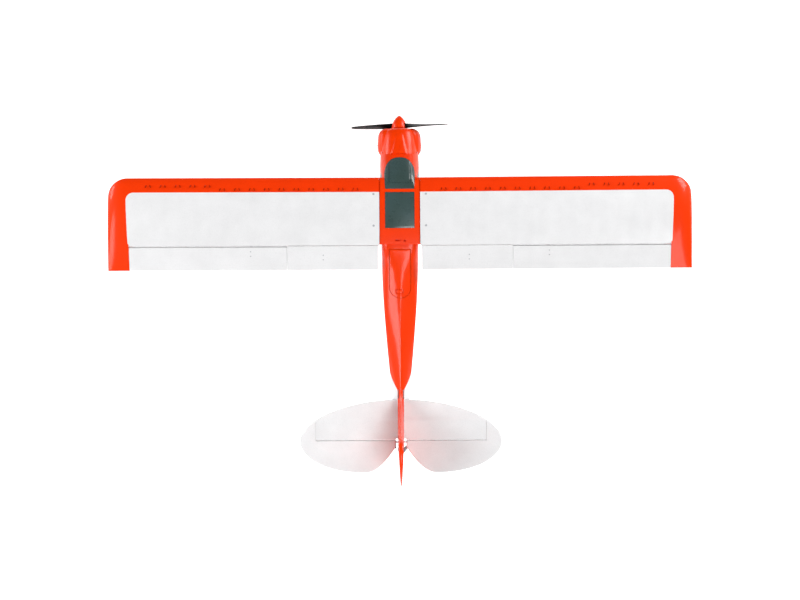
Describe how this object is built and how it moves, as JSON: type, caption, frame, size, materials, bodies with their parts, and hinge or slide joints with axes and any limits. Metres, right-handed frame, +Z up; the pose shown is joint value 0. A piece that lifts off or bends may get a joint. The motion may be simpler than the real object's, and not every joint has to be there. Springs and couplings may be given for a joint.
{
  "type": "radio-control foam airplane",
  "caption": "High-wing tail-wheel radio-control airplane moulded in foam, with hinged control surfaces, wing servos and pushrods, a nose motor and propeller, and big soft tyres.",
  "frame": {"origin": "on the ground, under the middle of the airplane's box as it stands on its three wheels", "axes": "+X from the fuselage towards the left wing tip, +Y aft (the nose points along -Y), +Z up. The airplane stands tail down, so its own level line is turned nose up about X."},
  "size_m": [1.2996, 0.8332, 0.2894],
  "materials": {
    "orange_foam": "moulded closed-cell foam painted satin orange-red",
    "white_foam": "moulded closed-cell foam, matt white with a fine bead grain",
    "two_tone_foam": "white foam wing with an orange-red painted leading edge and tip",
    "orange_plastic": "gloss orange-red moulded plastic",
    "propeller_nylon": "black glass-filled nylon, semi-gloss",
    "tinted_plastic": "dark grey-green tinted moulded glazing, glossy",
    "black_plastic": "black moulded plastic",
    "white_nylon": "white moulded nylon",
    "servo_case": "translucent blue servo case",
    "tundra_rubber": "soft black balloon tyre",
    "wire": "bright spring-steel wire",
    "motor_metal": "machined aluminium motor parts",
    "carbon_tube": "pultruded carbon tube, satin black",
    "plywood": "light birch plywood",
    "battery_wrap": "blue shrink-wrapped lithium pack",
    "black_heatshrink": "black heat-shrink sleeve",
    "gear_enamel": "white enamelled strut and leg"
  },
  "bodies": {
    "airframe": {"fuselage_left": "orange_foam", "fuselage_right": "orange_foam", "cowl": "orange_plastic", "motor_mount": "plywood", "motor_stator": "motor_metal", "speed_controller": "black_heatshrink", "battery": "battery_wrap", "receiver": "black_plastic", "servo_tray": "plywood", "windshield": "tinted_plastic", "skylight": "tinted_plastic", "side_window_left": "tinted_plastic", "side_window_right": "tinted_plastic", "wing_left": "two_tone_foam", "wing_right": "two_tone_foam", "wing_spar_tube": "carbon_tube", "strut_left": "gear_enamel", "strut_right": "gear_enamel", "aileron_servo_left": "servo_case", "aileron_servo_right": "servo_case", "flap_servo_left": "servo_case", "flap_servo_right": "servo_case", "stabilizer": "white_foam", "tail_wheel_bracket": "black_plastic", "gear_mount": "black_plastic", "gear_leg_left": "gear_enamel", "gear_leg_right": "gear_enamel"},
    "propeller": {"propeller": "propeller_nylon", "spinner": "orange_plastic", "motor_bell": "motor_metal"},
    "top_hatch": {"top_hatch": "orange_foam"},
    "battery_door": {"battery_door": "orange_foam"},
    "elevator": {"elevator": "white_foam", "elevator_horn": "black_plastic"},
    "elevator_rod": {"elevator_rod": "wire"},
    "rudder": {"rudder": "orange_foam", "rudder_horn": "black_plastic", "tail_wheel_wire": "wire"},
    "rudder_rod": {"rudder_rod": "wire"},
    "tail_wheel": {"tail_wheel": "tundra_rubber"},
    "wheel_left": {"tyre_left": "tundra_rubber", "hub_left": "black_plastic"},
    "wheel_right": {"tyre_right": "tundra_rubber", "hub_right": "black_plastic"},
    "aileron_left": {"aileron_left": "white_foam", "aileron_horn_left": "white_nylon"},
    "aileron_arm_left": {"aileron_arm_left": "white_nylon"},
    "aileron_rod_left": {"aileron_rod_left": "wire"},
    "aileron_right": {"aileron_right": "white_foam", "aileron_horn_right": "white_nylon"},
    "aileron_arm_right": {"aileron_arm_right": "white_nylon"},
    "aileron_rod_right": {"aileron_rod_right": "wire"},
    "flap_left": {"flap_left": "white_foam", "flap_horn_left": "white_nylon"},
    "flap_arm_left": {"flap_arm_left": "white_nylon"},
    "flap_rod_left": {"flap_rod_left": "wire"},
    "flap_right": {"flap_right": "white_foam", "flap_horn_right": "white_nylon"},
    "flap_arm_right": {"flap_arm_right": "white_nylon"},
    "flap_rod_right": {"flap_rod_right": "wire"}
  },
  "joints": [
    {"name": "propeller_spin", "type": "hinge", "parent": "airframe", "child": "propeller", "pos_m": [0, -0.39268, 0.23173], "axis": [0, 0.9744, -0.225], "continuous": true},
    {"name": "wheel_left_spin", "type": "hinge", "parent": "airframe", "child": "wheel_left", "pos_m": [0.135, -0.27054, 0.04957], "axis": [1, 0, 0], "continuous": true},
    {"name": "wheel_right_spin", "type": "hinge", "parent": "airframe", "child": "wheel_right", "pos_m": [-0.135, -0.27054, 0.04957], "axis": [1, 0, 0], "continuous": true},
    {"name": "top_hatch_lift", "type": "slide", "parent": "airframe", "child": "top_hatch", "axis": [0, 0.225, 0.9744], "range_m": [0, 0.06]},
    {"name": "battery_door_hinge", "type": "hinge", "parent": "airframe", "child": "battery_door", "pos_m": [0, -0.20139, 0.12679], "axis": [1, 0, 0], "range_deg": [-90, 0]},
    {"name": "elevator_hinge", "type": "hinge", "parent": "airframe", "child": "elevator", "pos_m": [0, 0.30886, 0.0964], "axis": [1, 0, 0], "range_deg": [-25, 25]},
    {"name": "elevator_rod_pin", "type": "hinge", "parent": "elevator", "child": "elevator_rod", "pos_m": [0.014, 0.30548, 0.08178], "axis": [1, 0, 0], "range_deg": [-26, 26]},
    {"name": "rudder_hinge", "type": "hinge", "parent": "airframe", "child": "rudder", "pos_m": [0, 0.32918, 0.1266], "axis": [0, 0.225, 0.9744], "range_deg": [-30, 30]},
    {"name": "rudder_rod_pin", "type": "hinge", "parent": "rudder", "child": "rudder_rod", "pos_m": [-0.0185, 0.31748, 0.07594], "axis": [0, 0.225, 0.9744], "range_deg": [-31, 31]},
    {"name": "tail_wheel_spin", "type": "hinge", "parent": "rudder", "child": "tail_wheel", "pos_m": [0, 0.32444, 0.01275], "axis": [1, 0, 0], "continuous": true},
    {"name": "aileron_left_hinge", "type": "hinge", "parent": "airframe", "child": "aileron_left", "pos_m": [0.33068, -0.10757, 0.24195], "axis": [0.9994, 0.0079, 0.034], "range_deg": [-20, 20]},
    {"name": "aileron_arm_left_shaft", "type": "hinge", "parent": "airframe", "child": "aileron_arm_left", "pos_m": [0.33082, -0.16887, 0.25203], "axis": [0.9994, 0.0079, 0.034], "range_deg": [-21, 21]},
    {"name": "aileron_rod_left_pin", "type": "hinge", "parent": "aileron_arm_left", "child": "aileron_rod_left", "pos_m": [0.33141, -0.17269, 0.23548], "axis": [0.9994, 0.0079, 0.034], "range_deg": [-21, 21]},
    {"name": "aileron_right_hinge", "type": "hinge", "parent": "airframe", "child": "aileron_right", "pos_m": [-0.33068, -0.10757, 0.24195], "axis": [0.9994, -0.0079, -0.034], "range_deg": [-20, 20]},
    {"name": "aileron_arm_right_shaft", "type": "hinge", "parent": "airframe", "child": "aileron_arm_right", "pos_m": [-0.33082, -0.16887, 0.25203], "axis": [0.9994, -0.0079, -0.034], "range_deg": [-21, 21]},
    {"name": "aileron_rod_right_pin", "type": "hinge", "parent": "aileron_arm_right", "child": "aileron_rod_right", "pos_m": [-0.33141, -0.17269, 0.23548], "axis": [0.9994, -0.0079, -0.034], "range_deg": [-21, 21]},
    {"name": "flap_left_hinge", "type": "hinge", "parent": "airframe", "child": "flap_left", "pos_m": [0.16928, -0.10884, 0.23645], "axis": [0.9994, 0.0079, 0.034], "range_deg": [-40, 0]},
    {"name": "flap_arm_left_shaft", "type": "hinge", "parent": "airframe", "child": "flap_arm_left", "pos_m": [0.16942, -0.17014, 0.24654], "axis": [0.9994, 0.0079, 0.034], "range_deg": [-41, 1]},
    {"name": "flap_rod_left_pin", "type": "hinge", "parent": "flap_arm_left", "child": "flap_rod_left", "pos_m": [0.17001, -0.17396, 0.22999], "axis": [0.9994, 0.0079, 0.034], "range_deg": [-1, 41]},
    {"name": "flap_right_hinge", "type": "hinge", "parent": "airframe", "child": "flap_right", "pos_m": [-0.15279, -0.10897, 0.23589], "axis": [0.9994, -0.0079, -0.034], "range_deg": [-40, 0]},
    {"name": "flap_arm_right_shaft", "type": "hinge", "parent": "airframe", "child": "flap_arm_right", "pos_m": [-0.15293, -0.17027, 0.24598], "axis": [0.9994, -0.0079, -0.034], "range_deg": [-41, 1]},
    {"name": "flap_rod_right_pin", "type": "hinge", "parent": "flap_arm_right", "child": "flap_rod_right", "pos_m": [-0.15352, -0.17409, 0.22942], "axis": [0.9994, -0.0079, -0.034], "range_deg": [-1, 41]}
  ],
  "couplings": [
    {"joint": "elevator_rod_pin", "follows": "elevator_hinge", "ratio": -1},
    {"joint": "rudder_rod_pin", "follows": "rudder_hinge", "ratio": -1},
    {"joint": "aileron_arm_left_shaft", "follows": "aileron_left_hinge", "ratio": 1},
    {"joint": "aileron_rod_left_pin", "follows": "aileron_left_hinge", "ratio": -1},
    {"joint": "aileron_right_hinge", "follows": "aileron_left_hinge", "ratio": -1},
    {"joint": "aileron_arm_right_shaft", "follows": "aileron_left_hinge", "ratio": -1},
    {"joint": "aileron_rod_right_pin", "follows": "aileron_left_hinge", "ratio": 1},
    {"joint": "flap_arm_left_shaft", "follows": "flap_left_hinge", "ratio": 1},
    {"joint": "flap_rod_left_pin", "follows": "flap_left_hinge", "ratio": -1},
    {"joint": "flap_right_hinge", "follows": "flap_left_hinge", "ratio": 1},
    {"joint": "flap_arm_right_shaft", "follows": "flap_left_hinge", "ratio": 1},
    {"joint": "flap_rod_right_pin", "follows": "flap_left_hinge", "ratio": -1}
  ]
}
